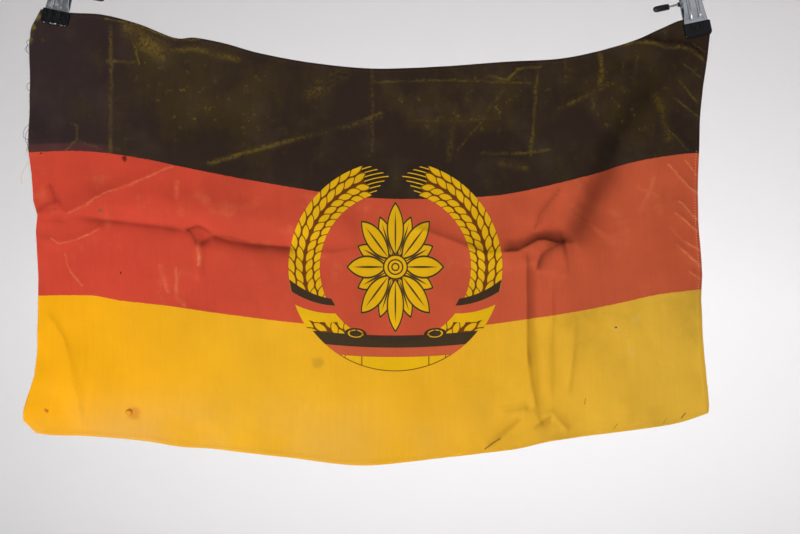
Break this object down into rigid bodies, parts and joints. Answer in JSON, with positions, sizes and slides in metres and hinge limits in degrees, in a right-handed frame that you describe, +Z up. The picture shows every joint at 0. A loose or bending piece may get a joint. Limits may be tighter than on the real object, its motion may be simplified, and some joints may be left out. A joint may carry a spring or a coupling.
{
  "type": "hanging flag with two spring clips",
  "caption": "Worn cotton flag with black, red and gold bands and a printed leaf wreath, hung open by its top corners from sprung hanger clips.",
  "frame": {"origin": "midway between the two places where the hanger bars pass through the clips", "axes": "+X along the flag's top from its left clip to its right one, as its face is seen; -Y out of the face; +Z up"},
  "size_m": [0.9995, 0.0324, 0.718],
  "materials": {
    "printed_cotton": "thin plain-weave cotton in three printed bands, faded and worn along old creases",
    "clip_steel": "bright plated stamped steel",
    "dipped_grip": "glossy black dipped vinyl",
    "spring_wire": "plain drawn wire",
    "bar_wire": "plated wire",
    "bar_plastic": "glossy black moulded plastic"
  },
  "bodies": {
    "root": {"flag_cloth": "printed_cotton", "left_clip_front_leaf": "clip_steel", "left_clip_back_leaf": "clip_steel", "left_clip_front_grip": "dipped_grip", "left_clip_back_grip": "dipped_grip", "left_clip_spring": "spring_wire", "left_clip_bar": "bar_wire", "left_clip_bar_sleeve": "bar_plastic", "left_clip_bar_collar": "bar_plastic", "right_clip_front_leaf": "clip_steel", "right_clip_back_leaf": "clip_steel", "right_clip_front_grip": "dipped_grip", "right_clip_back_grip": "dipped_grip", "right_clip_spring": "spring_wire", "right_clip_bar": "bar_wire", "right_clip_bar_sleeve": "bar_plastic", "right_clip_bar_collar": "bar_plastic"}
  },
  "joints": []
}
